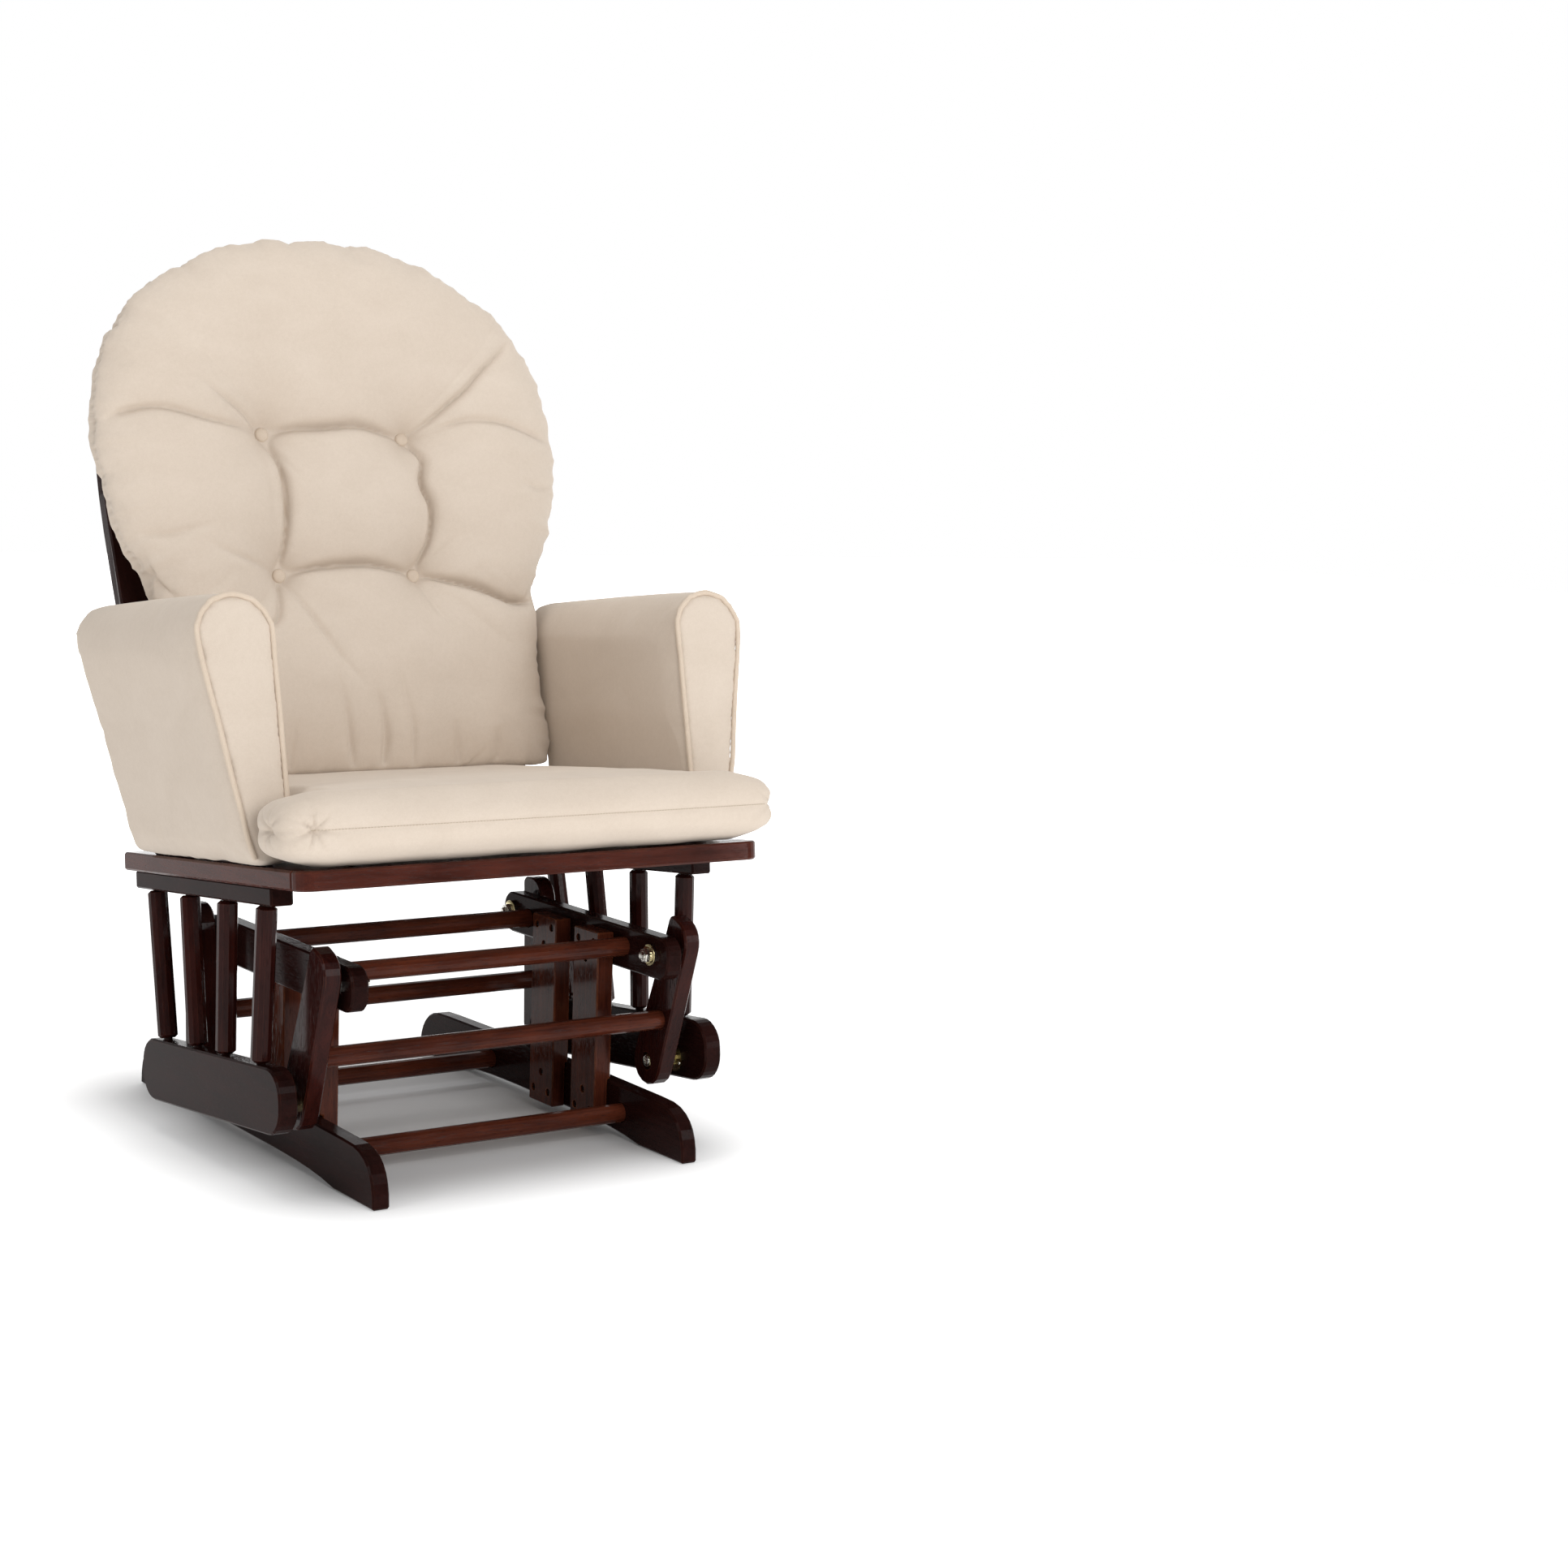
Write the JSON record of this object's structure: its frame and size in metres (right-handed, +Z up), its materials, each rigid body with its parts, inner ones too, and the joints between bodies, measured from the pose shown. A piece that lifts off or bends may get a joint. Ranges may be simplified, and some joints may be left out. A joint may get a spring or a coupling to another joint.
{
  "type": "glider nursery chair",
  "caption": "Padded nursery chair whose seat, arms and back hang on four swing links from a wooden trestle base, so it glides fore and aft.",
  "frame": {"origin": "centre of the overall box, on the floor", "axes": "-Y is the front, where the sitter's feet go; +Z is up; +X is the sitter's left hand. Node names say left and right as seen from the front, so left is -X"},
  "size_m": [0.684, 0.6684, 1.0411],
  "materials": {
    "espresso_wood": "dark espresso lacquer, semi-gloss",
    "reddish_wood": "dark reddish lacquer over round stock, semi-gloss",
    "upholstery": "warm cream brushed microfibre",
    "plated_steel": "zinc plate, slightly yellow",
    "spring_steel": "plain spring wire"
  },
  "bodies": {
    "base": {"bolt_top_front_left": "plated_steel", "bolt_top_front_right": "plated_steel", "bolt_top_rear_left": "plated_steel", "bolt_top_rear_right": "plated_steel", "foot_left": "espresso_wood", "foot_right": "espresso_wood", "hanger_beam_left": "espresso_wood", "hanger_beam_right": "espresso_wood", "post_front_left": "reddish_wood", "post_front_right": "reddish_wood", "post_rear_left": "reddish_wood", "post_rear_right": "reddish_wood", "rod_lower_front": "reddish_wood", "rod_lower_rear": "reddish_wood", "rod_upper_front": "reddish_wood", "rod_upper_rear": "reddish_wood"},
    "front_links": {"link_front_left": "espresso_wood", "link_front_right": "espresso_wood", "rod_link_front": "reddish_wood"},
    "rear_links": {"link_rear_left": "espresso_wood", "link_rear_right": "espresso_wood", "rod_link_rear": "reddish_wood"},
    "seat": {"arm_pad_left": "upholstery", "arm_pad_right": "upholstery", "arm_panel_left": "espresso_wood", "arm_panel_right": "espresso_wood", "back_crest": "espresso_wood", "back_cushion": "upholstery", "back_post_left": "espresso_wood", "back_post_right": "espresso_wood", "back_rail": "espresso_wood", "back_slat_a": "espresso_wood", "back_slat_b": "espresso_wood", "back_slat_c": "espresso_wood", "back_slat_d": "espresso_wood", "bolt_low_front_left": "plated_steel", "bolt_low_front_right": "plated_steel", "bolt_low_rear_left": "plated_steel", "bolt_low_rear_right": "plated_steel", "lower_rail_left": "espresso_wood", "lower_rail_right": "espresso_wood", "seat_board_front": "espresso_wood", "seat_board_left": "espresso_wood", "seat_board_rear": "espresso_wood", "seat_board_right": "espresso_wood", "seat_cushion": "upholstery", "seat_spring_1": "spring_steel", "seat_spring_2": "spring_steel", "seat_spring_3": "spring_steel", "spindle_a_left": "reddish_wood", "spindle_a_right": "reddish_wood", "spindle_b_left": "reddish_wood", "spindle_b_right": "reddish_wood", "spindle_c_left": "reddish_wood", "spindle_c_right": "reddish_wood", "spindle_d_left": "reddish_wood", "spindle_d_right": "reddish_wood", "upper_rail_left": "espresso_wood", "upper_rail_right": "espresso_wood"}
  },
  "joints": [
    {"name": "front_link_swing", "type": "hinge", "parent": "base", "child": "front_links", "pos_m": [0, -0.2485, 0.2265], "axis": [1, 0, 0], "range_deg": [-10.05, 8.05]},
    {"name": "rear_link_swing", "type": "hinge", "parent": "base", "child": "rear_links", "pos_m": [0, 0.0726, 0.2265], "axis": [1, 0, 0], "range_deg": [-9.4, 7.5]},
    {"name": "seat_swing", "type": "hinge", "parent": "rear_links", "child": "seat", "pos_m": [0, 0.0624, 0.0807], "axis": [1, 0, 0], "range_deg": [-9.3, 11.65]}
  ],
  "couplings": [
    {"joint": "front_link_swing", "follows": "rear_link_swing", "ratio": 1.0662},
    {"joint": "seat_swing", "follows": "rear_link_swing", "ratio": -1.2364}
  ]
}
